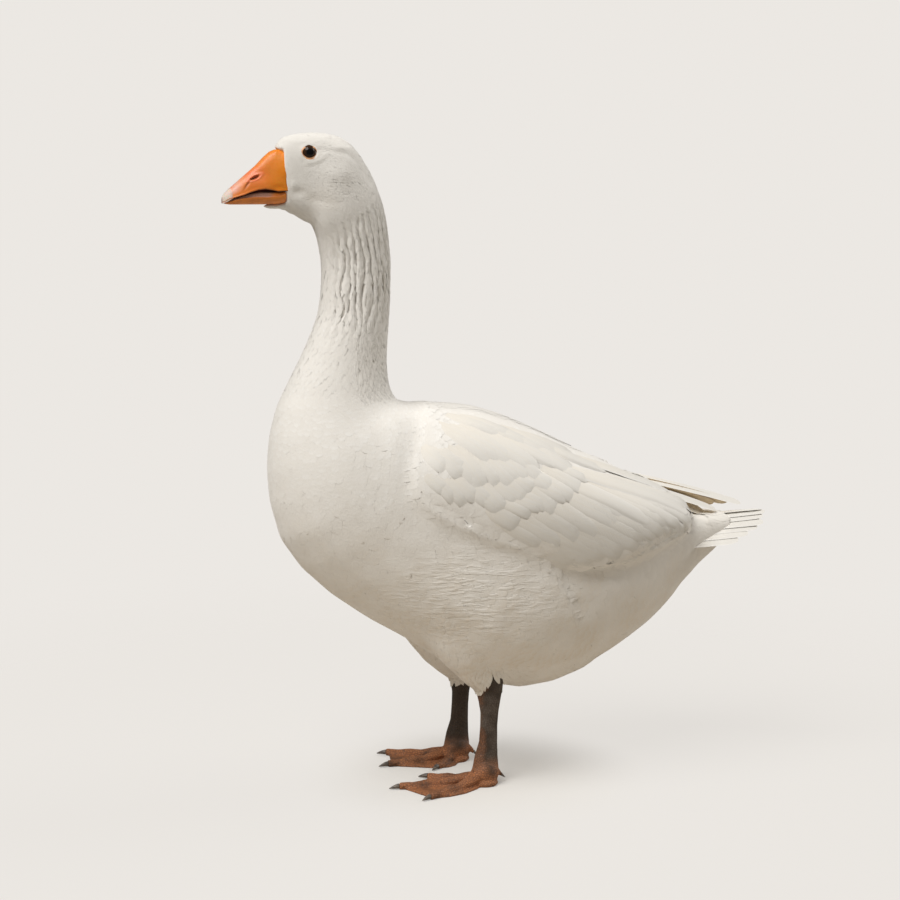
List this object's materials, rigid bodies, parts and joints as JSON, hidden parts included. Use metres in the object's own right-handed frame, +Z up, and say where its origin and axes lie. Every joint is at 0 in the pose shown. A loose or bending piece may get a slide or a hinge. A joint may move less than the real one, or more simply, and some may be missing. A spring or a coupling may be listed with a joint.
{
  "type": "standing domestic goose",
  "caption": "Life-size still model of a white domestic goose standing upright on webbed feet, wings folded, neck raised and bill shut, facing forward.",
  "frame": {"origin": "on the floor under the middle of the goose, half way from bill tip to tail tip", "axes": "+Z up; the bill points along -X; the goose's left side faces -Y"},
  "size_m": [0.603, 0.2376, 0.6875],
  "materials": {
    "plumage": "soft matt white feathers",
    "quill": "smooth satin off-white wing and tail feathers",
    "bill": "satin orange horn",
    "nail": "satin pinkish white horn",
    "leg": "dry scaly brown skin",
    "web": "dry scaly orange-brown skin",
    "claw": "dull dark grey horn",
    "eye": "wet dark brown"
  },
  "bodies": {
    "root": {"bill_lower": "bill", "bill_nail": "nail", "bill_upper": "bill", "claw_hind_left": "claw", "claw_hind_right": "claw", "claw_inner_left": "claw", "claw_inner_right": "claw", "claw_middle_left": "claw", "claw_middle_right": "claw", "claw_outer_left": "claw", "claw_outer_right": "claw", "eye_left": "eye", "eye_right": "eye", "flight_feathers_left": "quill", "flight_feathers_right": "quill", "foot_left": "web", "foot_right": "web", "head": "plumage", "hind_toe_left": "leg", "hind_toe_right": "leg", "neck_lower": "plumage", "neck_upper": "plumage", "primaries_left": "quill", "primaries_right": "quill", "shank_left": "leg", "shank_right": "leg", "tail": "quill", "thigh_left": "plumage", "thigh_right": "plumage", "trunk": "plumage", "wing_left": "plumage", "wing_right": "plumage"}
  },
  "joints": []
}
